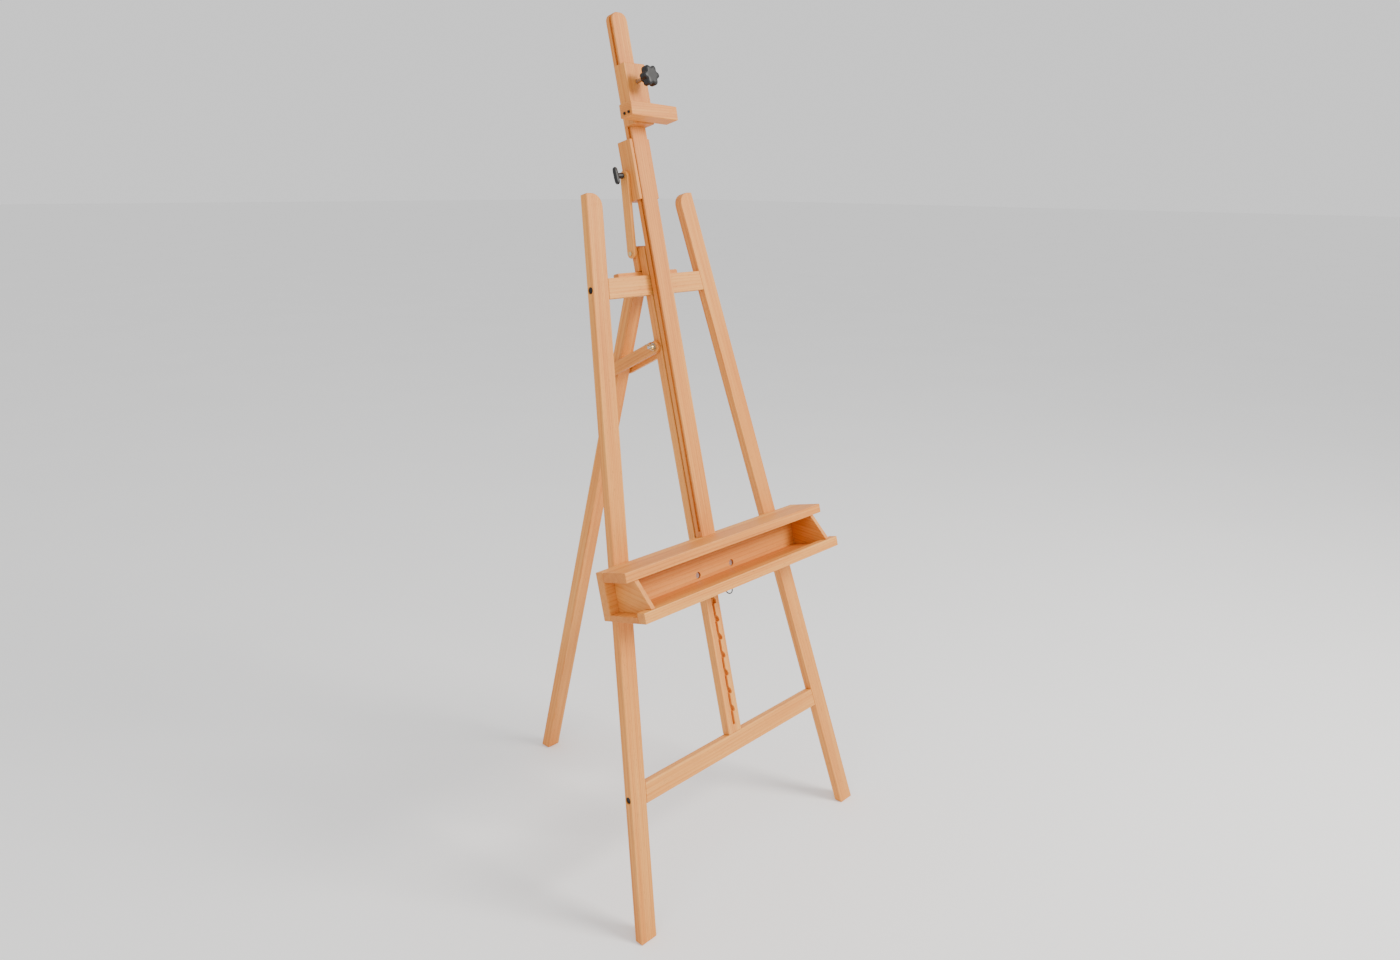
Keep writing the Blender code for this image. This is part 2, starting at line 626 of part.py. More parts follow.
def make_tray():
    """A shallow trough: a back board, a ledge for the canvas over it, a thin floor and a low front lip."""
    back = board("tray_back", (-TRAY_BACK_HALF, TRAY_BACK[0], TRAY_BACK_SPAN[0]),
                 (TRAY_BACK_HALF, TRAY_BACK[1], TRAY_BACK_SPAN[1]), BEECH, LEANING)
    wide = MAST_HALF + GAP
    carve(back, (-wide, MAST_BACK - FOOT_THICK - GAP, MAST_FOOT - GAP),
          (wide, TRAY_BACK[1] + 0.002, MAST_FOOT + 0.1))
    front = TRAY_BACK[0] - GAP
    board("tray_ledge", (-LEDGE_HALF, LEDGE_FRONT, LEDGE_SPAN[0]), (LEDGE_HALF, front, LEDGE_SPAN[1]),
          BEECH, LEANING)
    low, floor_top = TRAY_FLOOR_SPAN
    floor = board("tray_floor", (-LIP_HALF, LIP_DEPTH[1] + GAP, low), (LIP_HALF, front, floor_top), BEECH,
                  LEANING, 0.0008)
    board("tray_lip", (-LIP_HALF, LIP_DEPTH[0], low), (LIP_HALF, LIP_DEPTH[1], LIP_TOP), BEECH, LEANING,
          0.001)
    floor_top += GAP
    lip_top = LIP_TOP + GAP
    ledge_low = LEDGE_SPAN[0] - GAP
    inside = LIP_DEPTH[1] + 2 * GAP
    outline = [(front, floor_top), (front, ledge_low), (LEDGE_FRONT + 0.005, ledge_low),
               (LIP_DEPTH[0] + 0.004, lip_top), (inside, lip_top), (inside, floor_top)]
    for side, word in ((-1, "left"), (1, "right")):
        middle = side * (END_OUTER - END_THICK / 2)
        end = plate(f"tray_end_{word}", outline[::-1], END_THICK, "x", (middle, 0, 0), BEECH, LEANING)
        ease(end, 0.0008)
    return back, floor


def make_carriage(back):
    """Two spacers beside the rail and a plate behind it, bolted through the tray's back board."""
    low, high = CARRIAGE_SPAN
    inner = WIDE / 2 + 0.0008
    rear = THICK + 0.0008
    strap = board("carriage_plate", (-CARRIAGE_HALF, rear, low), (CARRIAGE_HALF, rear + 0.010, high),
                  BEECH, LEANING)
    height = CARRIAGE_V
    for side, word in ((-1, "left"), (1, "right")):
        x = sorted((side * inner, side * CARRIAGE_HALF))
        spacer = board(f"carriage_spacer_{word}", (x[0], TRAY_BACK[1] + GAP, low), (x[1], rear - GAP, high),
                       BEECH, LEANING)
        place = side * CARRIAGE_X
        drill(back, 0.0070, (place, TRAY_BACK[0] - 0.01, height), (place, TRAY_BACK[0] + 0.007, height))
        for obj in (back, spacer, strap):
            drill(obj, BORE, (place, -0.06, height), (place, 0.06, height))
        face = TRAY_BACK[0] + 0.007 - GAP
        bolt = rod(f"carriage_bolt_{word}", BOLT, (place, face - 0.001, height),
                   (place, rear + 0.018, height),
                   STEEL, LEANING)
        join(bolt, rod(bolt.name + "_head", 0.0058, (place, face - 0.004, height), (place, face, height),
                       None, LEANING))
        end = rear + 0.010 + GAP
        nut = rod(f"carriage_nut_{word}", 0.0060, (place, end, height), (place, end + 0.005, height),
                  STEEL, LEANING, 6)
        drill(nut, BORE, (place, 0, height), (place, 0.06, height))


def make_pawl(floor):
    """A flat steel pawl under the tray. Its tail lies in the rail's groove and swings into a notch."""
    pivot = empty("pawl_axis", (0, PAWL_PIVOT, 0), parent=LEANING)
    middle = PAWL_V + PAWL_THICK / 2
    tail = GROOVE_DEPTH - 0.002 - PAWL_PIVOT
    front = PAWL_FRONT - PAWL_PIVOT
    outline = [(-0.006, front + 0.003), (-0.003, front), (0.003, front), (0.006, front + 0.003),
               (0.007, -0.004),
               (0.007, 0.006), (0.0015, 0.014), (0.0015, tail), (-0.0015, tail), (-0.0015, 0.014),
               (-0.007, 0.006), (-0.007, -0.004)]
    pawl = plate("pawl", outline, PAWL_THICK, "z", (0, 0, middle), STEEL, pivot)
    drill(pawl, BORE, (0, 0, PAWL_V - 0.01), (0, 0, PAWL_V + 0.01))
    drop = 0.0065
    chord = (RING_RADIUS ** 2 - drop ** 2) ** 0.5
    hole = front + 0.0057
    centre = hole - chord
    drill(pawl, 0.0033, (0, hole - 0.0006, PAWL_V - 0.01), (0, hole - 0.0006, PAWL_V + 0.01))
    bm = bmesh.new()
    profile = bmesh.ops.create_circle(bm, segments=8, radius=RING_WIRE)["verts"]
    bmesh.ops.rotate(bm, verts=profile, matrix=Matrix.Rotation(pi / 2, 3, "X"))
    bmesh.ops.translate(bm, verts=profile, vec=(RING_RADIUS, 0, 0))
    bmesh.ops.spin(bm, geom=bm.verts[:] + bm.edges[:], cent=(0, 0, 0), axis=(0, 0, 1), angle=2 * pi,
                   steps=28,
                   use_merge=True)
    bmesh.ops.remove_doubles(bm, verts=bm.verts, dist=1e-6)
    smooth(put("pull_ring", mesh_of(bm, "pull_ring"), DARK_STEEL, pivot, (0, centre, middle - drop),
               (0, pi / 2, 0)))
    drill(floor, BORE, (0, PAWL_PIVOT, PAWL_V - 0.01), (0, PAWL_PIVOT, TRAY_FLOOR_SPAN[0] + 0.0100))
    shank = rod("pawl_screw", BOLT, (0, PAWL_PIVOT, PAWL_V - 0.001),
                (0, PAWL_PIVOT, TRAY_FLOOR_SPAN[0] + 0.0095),
                STEEL, LEANING)
    join(shank,
         rod("pawl_screw_head", 0.0060, (0, PAWL_PIVOT, PAWL_V - 0.0035), (0, PAWL_PIVOT, PAWL_V - GAP),
                    None, LEANING))
    washer = rod("pawl_spacer", 0.0070, (0, PAWL_PIVOT, PAWL_V + PAWL_THICK + GAP),
                 (0, PAWL_PIVOT, TRAY_FLOOR_SPAN[0] - GAP), STEEL, LEANING)
    drill(washer, BORE, (0, PAWL_PIVOT, 0.6), (0, PAWL_PIVOT, 0.66))


# ---- the canvas clamp ---------------------------------------------------------------------------------
def make_clamp():
    """A block that rides on the mast, with a lip that holds the canvas and a knob that locks it."""
    low, high = CLAMP_SPAN
    body = board("clamp_body", (-CLAMP_HALF, CLAMP_DEPTH[0], low), (CLAMP_HALF, CLAMP_DEPTH[1], high),
                 BEECH, LEANING)
    carve(body, (-CHANNEL, MAST_FRONT - 0.0005, low - 0.005),
          (CHANNEL, CLAMP_DEPTH[1] + 0.002, high + 0.005))
    for side in (-1, 1):
        x = sorted((side * (CHANNEL + 0.002), side * (CHANNEL - TONGUE_REACH)))
        join(body, box(f"clamp_tongue_{side + 2}", (x[0], TONGUE[0], low + 0.002),
                       (x[1], CLAMP_DEPTH[1] - 0.0002, high - 0.002), None, LEANING))
    drill(body, STUD + GAP, (0, -0.06, KNOB_V), (0, 0, KNOB_V))
    middle = sum(LIP_BAR_SPAN) / 2
    tilt = empty("clamp_lip_tilt", (0, 0, middle), (0, LIP_BAR_TILT, 0), LEANING)
    tall = (LIP_BAR_SPAN[1] - LIP_BAR_SPAN[0]) / 2
    lip = board("clamp_lip", (-LIP_BAR_HALF, LIP_BAR_DEPTH[0], -tall),
                (LIP_BAR_HALF, LIP_BAR_DEPTH[1], tall),
                BEECH, tilt)
    end = -LIP_BAR_HALF
    for word, depth in (("front", LIP_BAR_DEPTH[0] + 0.0085), ("back", LIP_BAR_DEPTH[0] + 0.0205)):
        drill(lip, 0.0012 + GAP, (end - 0.01, depth, -0.0065), (end + 0.016, depth, -0.0065), 16)
        screw(f"lip_screw_{word}", 0.0012, 0.0026, (end - 0.0023, depth, -0.0065),
              (end + 0.0155, depth, -0.0065),
              tilt, DARK_STEEL)
    make_clamp_knob()


def lobed_outline(radius, dip, lobes, steps):
    """A star knob's outline: the radius dips smoothly between the lobes."""
    points = []
    for i in range(lobes * steps):
        angle = 2 * pi * i / (lobes * steps)
        reach = radius - dip * (1 - cos(lobes * angle)) / 2
        points.append((reach * cos(angle), reach * sin(angle)))
    return points


def make_clamp_knob():
    pivot = empty("clamp_knob_axis", (0, 0, KNOB_V), parent=LEANING)
    front, back = KNOB_DEPTH
    knob = plate("clamp_knob", lobed_outline(KNOB_RADIUS, 0.006, 6, 8), back - front, "y",
                 (0, (front + back) / 2, 0), PLASTIC, pivot)
    ease(knob, 0.003, 2)
    join(knob, rod("clamp_knob_hub", 0.0095, (0, back - 0.004, 0), (0, back + 0.009, 0), None, pivot))
    drill(knob, STUD + GAP, (0, 0, 0), (0, front + 0.005, 0))
    rod("clamp_stud", STUD, (0, MAST_FRONT - GAP - 0.0003, 0), (0, front + 0.005 + GAP, 0), STEEL, pivot)


make_frame()
make_rail()
make_hinge_block()
make_rear_leg()
make_hinge()
make_stays()
make_guide()
make_mast()
BACK_BOARD, FLOOR_BOARD = make_tray()
make_carriage(BACK_BOARD)
make_pawl(FLOOR_BOARD)
make_clamp()

print(f"hinge axis y {HINGE_Y:.4f} z {HINGE_Z:.4f}, feet {FEET_APART:.4f} apart")
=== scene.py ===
# %% [markdown]
# A folding studio easel in oiled beech. The solid parts arrive as a fixed frame, each with its own place,
# so this lesson is about finish: wood whose grain runs the way each stick was sawn, black moulded knobs,
# a cast brass wing nut and dull steel hardware. The few pieces with curved shapes are worked out with numpy.

# %% Start from the frame
import json
from math import cos, pi, sin

import bpy
import numpy as np
from mathutils import Matrix, Vector


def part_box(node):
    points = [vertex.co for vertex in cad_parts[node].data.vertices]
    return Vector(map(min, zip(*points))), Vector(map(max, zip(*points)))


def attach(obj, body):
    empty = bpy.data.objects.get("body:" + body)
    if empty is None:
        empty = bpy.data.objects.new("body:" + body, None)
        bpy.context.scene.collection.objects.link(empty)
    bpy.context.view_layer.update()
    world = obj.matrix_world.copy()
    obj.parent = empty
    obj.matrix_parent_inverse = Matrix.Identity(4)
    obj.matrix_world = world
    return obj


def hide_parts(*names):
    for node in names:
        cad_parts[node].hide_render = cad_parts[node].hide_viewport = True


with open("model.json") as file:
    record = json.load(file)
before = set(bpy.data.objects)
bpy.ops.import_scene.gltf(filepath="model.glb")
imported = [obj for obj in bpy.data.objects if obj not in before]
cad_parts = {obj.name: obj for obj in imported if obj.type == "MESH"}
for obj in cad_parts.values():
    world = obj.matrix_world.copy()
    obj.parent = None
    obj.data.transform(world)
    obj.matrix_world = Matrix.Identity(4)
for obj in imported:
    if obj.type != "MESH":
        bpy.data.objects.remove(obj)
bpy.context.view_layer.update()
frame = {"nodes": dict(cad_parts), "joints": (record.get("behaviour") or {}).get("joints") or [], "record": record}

nodes = frame["nodes"]

# %% [markdown]
# The A-frame leans back, so almost nothing on it lies along the world's axes. The joints already hold the
# directions that matter: the mast slides along the slope, and the clamp's screw turns about the line
# straight through the boards. Reading them here keeps the grain and the new pieces true to the lean.

# %% Directions on the leaning frame
joints = {joint["name"]: joint for joint in frame["joints"]}
ACROSS = Vector((1, 0, 0))
SLOPE = Vector(joints["mast_slide"]["axis"]).normalized()
THROUGH = Vector(joints["clamp_knob_turn"]["axis"]).normalized()
FRONT_FEET = min(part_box("left_leg")[0].y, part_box("right_leg")[0].y)
print("slope", [round(c, 4) for c in SLOPE], "front feet at y", round(FRONT_FEET, 4))

# %% [markdown]
# The camera stands a little over two paces away, off the easel's left front corner and near eye level.
# A wide lens close up is what makes the near leg look long and the tray sweep away. The three directions of
# the view are built from its heading, its dip and a trace of roll, then laid in as matrix columns.

# %% Camera
def stand_camera(place, heading, dip, roll, lens):
    """A camera at place, turned heading radians from +Y towards +X, dipped and rolled, with no shift."""
    view = Vector((sin(heading) * cos(dip), cos(heading) * cos(dip), -sin(dip)))
    level = Vector((cos(heading), -sin(heading), 0))
    rise = level.cross(view)
    right = level * cos(roll) + rise * sin(roll)
    above = rise * cos(roll) - level * sin(roll)
    data = bpy.data.cameras.new("studio_camera")
    data.lens = lens
    data.sensor_width = 36
    camera = bpy.data.objects.new("studio_camera", data)
    turn = Matrix((right, above, -view)).transposed().to_4x4()
    camera.matrix_world = Matrix.Translation(place) @ turn
    bpy.context.scene.collection.objects.link(camera)
    bpy.context.scene.camera = camera
    return camera


camera = stand_camera(Vector((-1.4965, FRONT_FEET - 1.2046, 1.4308)), 0.8230, 0.2844, 0.0087, 26.335)
print("camera at", [round(c, 3) for c in camera.matrix_world.translation])

# %% [markdown]
# Shader patterns are arithmetic, so they read best as arithmetic. Value wraps one socket and gives it
# plus, minus, times, divide and power, each way round, so that 1 - mask works as written. Finish holds one
# material, and its node method is the only door to every other kind of node.

# %% A small language for finishes
class Value:
    """One number in a shader. Each operator adds the Math node of the same name."""

    def __init__(self, finish, socket):
        self.finish = finish
        self.socket = socket

    def _math(self, operation, first, second=None, clamp=False):
        settings = {"operation": operation, "use_clamp": clamp}
        inputs = {0: first} if second is None else {0: first, 1: second}
        return Value(self.finish, self.finish.node("ShaderNodeMath", settings, inputs).outputs[0])

    def __add__(self, other):
        return self._math("ADD", self, other)

    __radd__ = __add__

    def __sub__(self, other):
        return self._math("SUBTRACT", self, other)

    def __rsub__(self, other):
        return self._math("SUBTRACT", other, self)

    def __mul__(self, other):
        return self._math("MULTIPLY", self, other)

    __rmul__ = __mul__

    def __truediv__(self, other):
        return self._math("DIVIDE", self, other)

    def __pow__(self, other):
        return self._math("POWER", self, other)

    def absolute(self):
        return self._math("ABSOLUTE", self)

    def fraction(self):
        return self._math("FRACT", self)

    def larger(self, other):
        return self._math("MAXIMUM", self, other)

    def clamped(self):
        return self._math("ADD", self, 0.0, clamp=True)

    def ramp(self, low, high):
        """0 below low, 1 above high, straight between them."""
        return ((self - low) / (high - low)).clamped()


class Finish:
    """A material with one Principled shader, built node by node."""

    def __init__(self, name, **constants):
        self.material = bpy.data.materials.new(name)
        self.material.use_nodes = True
        self.tree = self.material.node_tree
        self.shader = self.tree.nodes["Principled BSDF"]
        for socket, value in constants.items():
            self.shader.inputs[socket.replace("_", " ")].default_value = value

    def node(self, kind, settings=None, inputs=None):
        """Any node: its settings first, then a value or a link for each named or numbered socket."""
        made = self.tree.nodes.new(kind)
        for name, value in (settings or {}).items():
            if name == "stops":
                for stop, (place, colour) in enumerate(value):
                    ramp = made.color_ramp.elements
                    element = ramp[stop] if stop < len(ramp) else ramp.new(place)
                    element.position = place
                    element.color = (*colour, 1)
            else:
                setattr(made, name, value)
        for name, value in (inputs or {}).items():
            if isinstance(value, Value):
                value = value.socket
            if isinstance(value, bpy.types.NodeSocket):
                self.tree.links.new(value, made.inputs[name])
            else:
                made.inputs[name].default_value = value
        return made

    def position(self):
        return self.node("ShaderNodeTexCoord").outputs["Object"]

    def along(self, point, direction, start=0.0):
        """How far a point lies along a direction, less start."""
        dot = self.node("ShaderNodeVectorMath", {"operation": "DOT_PRODUCT"}, {0: point, 1: tuple(direction)})
        return Value(self, dot.outputs["Value"]) - start

    def vector(self, x, y, z):
        return self.node("ShaderNodeCombineXYZ", None, {0: x, 1: y, 2: z}).outputs[0]

    def noise(self, place, scale=1.0, detail=2.0, rough=0.5):
        made = self.node("ShaderNodeTexNoise", None,
                         {"Vector": place, "Scale": scale, "Detail": detail, "Roughness": rough})
        return Value(self, made.outputs[0])

    def mix(self, amount, first, second):
        made = self.node("ShaderNodeMix", {"data_type": "RGBA"}, {0: amount, 6: first, 7: second})
        return made.outputs[2]

    def ramp(self, value, stops):
        return self.node("ShaderNodeValToRGB", {"stops": stops}, {0: value}).outputs[0]

    def set(self, socket, value):
        self.tree.links.new(value.socket if isinstance(value, Value) else value, self.shader.inputs[socket])

    def bump(self, height, distance, strength=1.0):
        made = self.node("ShaderNodeBump", None,
                         {"Height": height, "Distance": distance, "Strength": strength})
        self.set("Normal", made.outputs[0])


print("finish language ready")

# %% [markdown]
# Beech is pale, close and even. Seen near, it shows soft growth rings, a haze of fibres, and short brown
# flecks that all point along the stick: the rays, cut across. A real stick is a slice of one trunk, so the
# pattern is solid. It lives in three numbers measured in the stick itself: along it, across it and through
# it. Rings are circles round a trunk centre set well outside the stick, so long faces show lines and the
# sawn ends show arcs. Handling polishes the sharp edges a shade lighter and rubs grime into the pores.

# %% Beech
PALE = (0.84, 0.40, 0.085)
HONEY = (0.68, 0.235, 0.030)
AMBER = (0.44, 0.115, 0.010)
FLECK = (0.20, 0.05, 0.006)
POLISHED = (0.90, 0.50, 0.16)


def corners_of(name):
    """All the vertices of a solid piece, as rows of x, y, z."""
    mesh = nodes[name].data
    flat = np.empty(len(mesh.vertices) * 3, np.float32)
    mesh.vertices.foreach_get("co", flat)
    return flat.reshape(-1, 3)


def beech(name, grain, width, seed):
    """The finish of one stick. Along, across and through are the point's distances from the stick's middle
    along three square directions. Ring number = distance to the trunk centre / ring spacing, bent by slow
    noise. Flecks are noise drawn out thirty times along the grain and cut off near its top."""
    rng = np.random.default_rng(seed)
    grain = grain.normalized()
    width = (width - grain * width.dot(grain)).normalized()
    depth = grain.cross(width)
    points = corners_of(name)
    spans = [points @ np.array(axis) for axis in (grain, width, depth)]
    middle = [(s.max() + s.min()) / 2 for s in spans]
    half = [(s.max() - s.min()) / 2 for s in spans]
    wood = Finish("beech_" + name, IOR=1.5, Coat_IOR=1.45)
    place = wood.position()
    along, across, through = (wood.along(place, axis, m) for axis, m in zip((grain, width, depth), middle))
    shift = [float(v) for v in rng.uniform(-5, 5, 3)]

    def stretched(long_scale, wide_scale, slot):
        return wood.vector(across * wide_scale + shift[slot], through * wide_scale + shift[0],
                           along * long_scale)

    bend = wood.noise(stretched(1.6, 9, 0), 1.0, 2.0) - 0.5
    trunk = (float(rng.uniform(0.05, 0.10)), float(rng.uniform(0.03, 0.08)))
    dx = across + trunk[0] + bend * 0.016
    dy = through + trunk[1]
    ring = ((dx * dx + dy * dy) ** 0.5) / 0.0042
    late = ring.fraction() ** 2.5
    fibre = wood.noise(stretched(22, 1500, 1), 1.0, 3.0, 0.6)
    streak = wood.noise(stretched(2.5, 130, 2), 1.0, 3.0, 0.6)
    fleck = wood.noise(stretched(85, 1300, 2), 1.0, 1.0).ramp(0.66, 0.72)
    cloud = wood.noise(stretched(2.2, 14, 1), 1.0, 2.0)
    tone = float(rng.uniform(-0.10, 0.10))
    depth_of_tone = (late * 0.26 + streak * 0.85 + cloud * 0.55 + fibre * 0.20 + (tone - 0.44)).clamped()
    colour = wood.ramp(depth_of_tone, [(0.0, PALE), (0.52, HONEY), (1.0, AMBER)])
    colour = wood.mix(fleck * 0.42, colour, (*FLECK, 1))
    edge = (half[1] - across.absolute()).larger(half[2] - through.absolute())
    rub = wood.noise(stretched(30, 120, 0), 1.0, 2.0)
    worn = (1 - edge.ramp(0.0004, 0.0026)) * rub.ramp(0.35, 0.75)
    colour = wood.mix(worn * 0.30, colour, (*POLISHED, 1))
    ends = along.absolute().ramp(half[0] - 0.0018, half[0] - 0.0004)
    colour = wood.mix(ends * 0.38, colour, (*AMBER, 1))
    wood.set("Base Color", colour)
    wood.set("Roughness", (0.43 + fibre * 0.16 + cloud * 0.08 - worn * 0.10).clamped())
    wood.bump(fibre * 0.6 - fleck * 0.5 - late * 0.25, 0.00022, 0.7)
    return wood.material


# %% [markdown]
# Each stick was sawn with its length along the grain. The long uprights follow the slope, the two legs
# follow their own splay, and everything that spans the easel runs from side to side. The directions are
# taken from each piece's two ends, so a change to the frame carries the grain with it.

# %% Grain direction of each wooden piece
END_ZONE = 0.02  # how much of a piece counts as its end
FIRST_SEED = 40


def between_ends(name, rough):
    """From the middle of a piece's low end to the middle of its high end, along a rough direction."""
    points = corners_of(name)
    reach = points @ np.array(rough)
    low = points[reach < reach.min() + END_ZONE].mean(0)
    high = points[reach > reach.max() - END_ZONE].mean(0)
    return Vector(high - low)


UP_SLOPE = ["toothed_rail", "mast", "arm_post", "guide_block", "clamp_body"]
SIDE_TO_SIDE = ["upper_crossbar", "lower_crossbar", "hinge_block", "tray_back", "tray_ledge", "tray_floor",
                "tray_lip", "clamp_lip", "carriage_plate", "carriage_spacer_left", "carriage_spacer_right"]
BY_ENDS = {"left_leg": SLOPE, "right_leg": SLOPE, "rear_leg": Vector((0, -0.27, 0.96)),
           "guide_arm_left": SLOPE, "guide_arm_right": SLOPE,
           "stay_link_left": Vector((0, -0.86, 0.51)), "stay_link_right": Vector((0, -0.86, 0.51)),
           "tray_end_left": THROUGH, "tray_end_right": THROUGH}
grain_of = {name: SLOPE for name in UP_SLOPE}
grain_of.update({name: ACROSS for name in SIDE_TO_SIDE})
grain_of.update({name: between_ends(name, rough) for name, rough in BY_ENDS.items()})
for seed, (name, grain) in enumerate(sorted(grain_of.items())):
    width = SLOPE if abs(grain.normalized().dot(ACROSS)) > 0.7 else ACROSS
    nodes[name].material_slots[0].material = beech(name, grain, width, FIRST_SEED + seed)
print(len(grain_of), "wooden pieces")

# %% [markdown]
# The metal is plain hardware. Zinc-plated steel is a soft grey mirror, broken up by fine scratches and a
# faint cloud in the plating. The blackened bolts are the same idea, darker and duller. Brass is warmer, and
# its cloud is a brown tarnish.

# %% Metals
def metal(name, bright, dull, rough, scratch=0.15):
    """Colour slides from bright to dull by a slow cloud; roughness rises along fine, stretched scratches."""
    finish = Finish(name, Metallic=1.0)
    place = finish.position()
    cloud = finish.noise(place, 90.0, 3.0, 0.6)
    spots = finish.noise(place, 520.0, 2.0)
    lines = finish.noise(finish.vector(finish.along(place, ACROSS) * 300, finish.along(place, THROUGH) * 2600,
                                       finish.along(place, SLOPE) * 2600), 1.0, 2.0)
    tarnish = (cloud.ramp(0.35, 0.75) * 0.7 + spots.ramp(0.6, 0.75) * 0.3).clamped()
    finish.set("Base Color", finish.mix(tarnish, (*bright, 1), (*dull, 1)))
    finish.set("Roughness", (rough + tarnish * 0.18 + lines.ramp(0.55, 0.8) * scratch).clamped())
    finish.bump(lines + spots * 0.5, 0.00004, 0.5)
    return finish.material


zinc = metal("zinc_plated_steel", (0.62, 0.62, 0.63), (0.34, 0.34, 0.35), 0.26)
black_steel = metal("blackened_steel", (0.040, 0.037, 0.036), (0.010, 0.009, 0.008), 0.40)
brass = metal("cast_brass", (0.80, 0.63, 0.34), (0.42, 0.29, 0.12), 0.24)
FINISHES = {"zinc_steel": zinc, "dark_steel": black_steel, "brass": brass}
slots = {entry["node"]: entry["material_slot"] for entry in frame["record"]["subparts"]}
for name, slot in slots.items():
    if slot in FINISHES:
        nodes[name].material_slots[0].material = FINISHES[slot]
print({slot: sum(s == slot for s in slots.values()) for slot in FINISHES})

# %% [markdown]
# The knobs are black thermoplastic from a spark-eroded mould, which leaves an even fine grain. The grain
# catches light as a broad, soft shine, and the high spots get polished by fingers, so roughness falls a
# little where the surface has been handled.

# %% Black plastic
def moulded(name, base, rough):
    finish = Finish(name, IOR=1.49)
    place = finish.position()
    grain = finish.noise(place, 2400.0, 2.0)
    handled = finish.noise(place, 55.0, 2.0).ramp(0.4, 0.7)
    finish.set("Base Color", finish.mix(handled * 0.5, (*base, 1), tuple(c * 1.9 for c in base) + (1,)))
    finish.set("Roughness", (rough + grain * 0.12 - handled * 0.10).clamped())
    finish.bump(grain, 0.00005, 0.6)
    return finish.material


plastic = moulded("black_moulded_plastic", (0.0035, 0.0035, 0.004), 0.45)
for name, slot in slots.items():
    if slot == "black_plastic":
        nodes[name].material_slots[0].material = plastic
print("plastic on", [name for name, slot in slots.items() if slot == "black_plastic"])

# %% [markdown]
# New shapes share one maker. A grid of points, rings by columns, becomes quads by index arithmetic, and a
# single point closes each end. Everything is computed as whole arrays, then poured into the mesh at once.

# %% Grids of points to meshes
def skin(name, rings, finish, body, closed_path=False):
    """A closed surface through rings of points, shape (rings, columns, 3), each ring closed on itself.
    The first and last rings are capped with their middle point, unless the path itself closes."""
    count, columns, _ = rings.shape
    points = rings.reshape(-1, 3)
    row = np.arange(count if closed_path else count - 1)[:, None] * columns
    next_row = (row + columns) % (count * columns)
    column = np.arange(columns)[None, :]
    following = (column + 1) % columns
    quads = np.stack([row + column, row + following, next_row + following, next_row + column],
                     -1).reshape(-1, 4)
    faces = quads.tolist()
    if not closed_path:
        points = np.vstack([points, rings[0].mean(0), rings[-1].mean(0)])
        around = np.arange(columns)
        last = (count - 1) * columns
        low = np.stack([np.full(columns, len(points) - 2), (around + 1) % columns, around], -1)
        high = np.stack([np.full(columns, len(points) - 1), last + around, last + (around + 1) % columns], -1)
        faces += low.tolist() + high.tolist()
    mesh = bpy.data.meshes.new(name)
    mesh.from_pydata(points.tolist(), [], faces)
    if signed_volume(mesh) < 0:
        mesh.flip_normals()
    mesh.shade_smooth()
    mesh.set_sharp_from_angle(angle=0.7)
    mesh.materials.append(finish)
    piece = bpy.data.objects.new(name, mesh)
    bpy.context.scene.collection.objects.link(piece)
    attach(piece, body)
    return piece


def signed_volume(mesh):
    """A sixth of the sum of each triangle's triple product: negative if the faces point inwards."""
    mesh.calc_loop_triangles()
    corners = np.empty(len(mesh.loop_triangles) * 3, np.int32)
    mesh.loop_triangles.foreach_get("vertices", corners)
    places = np.empty(len(mesh.vertices) * 3, np.float32)
    mesh.vertices.foreach_get("co", places)
    a, b, c = np.moveaxis(places.reshape(-1, 3)[corners.reshape(-1, 3)], 1, 0)
    return float((np.cross(a, b) * c).sum() / 6)


def frame_points(origin, x_axis, y_axis, z_axis, x, y, z):
    """Points from three arrays of distances along three directions, shape of the arrays plus 3."""
    return (np.array(origin) + x[..., None] * np.array(x_axis) + y[..., None] * np.array(y_axis)
            + z[..., None] * np.array(z_axis))


print("grid maker ready")

# %% [markdown]
# The clamp's knob is a six-lobed star, the kind gripped by fingertips. Its plan is a circle whose radius
# swells and dips six times in a turn, and its side view is a rounded drum on a short hub. Multiplying the
# two gives every point: the profile says how far along and how wide, the star says how wide in which
# direction. The hub takes no lobes, so their depth fades to nothing towards it.

# %% Star knob
LOBES = 6
LOBE_DIP = 0.25
# From the face to the end of the hub: how far along, how wide, how deep the lobes are there, all as shares.
STAR_PROFILE = [(0.0, 0.50, 0.5), (0.0, 0.66, 0.7), (0.015, 0.80, 0.85), (0.04, 0.89, 0.95), (0.08, 0.955, 1.0),
                (0.14, 0.99, 1.0), (0.30, 1.0, 1.0), (0.45, 1.0, 1.0), (0.56, 0.985, 1.0), (0.61, 0.95, 1.0),
                (0.645, 0.88, 0.95), (0.66, 0.78, 0.8), (0.67, 0.44, 0.0), (0.70, 0.40, 0.0),
                (0.85, 0.395, 0.0), (0.97, 0.39, 0.0), (1.0, 0.375, 0.0)]


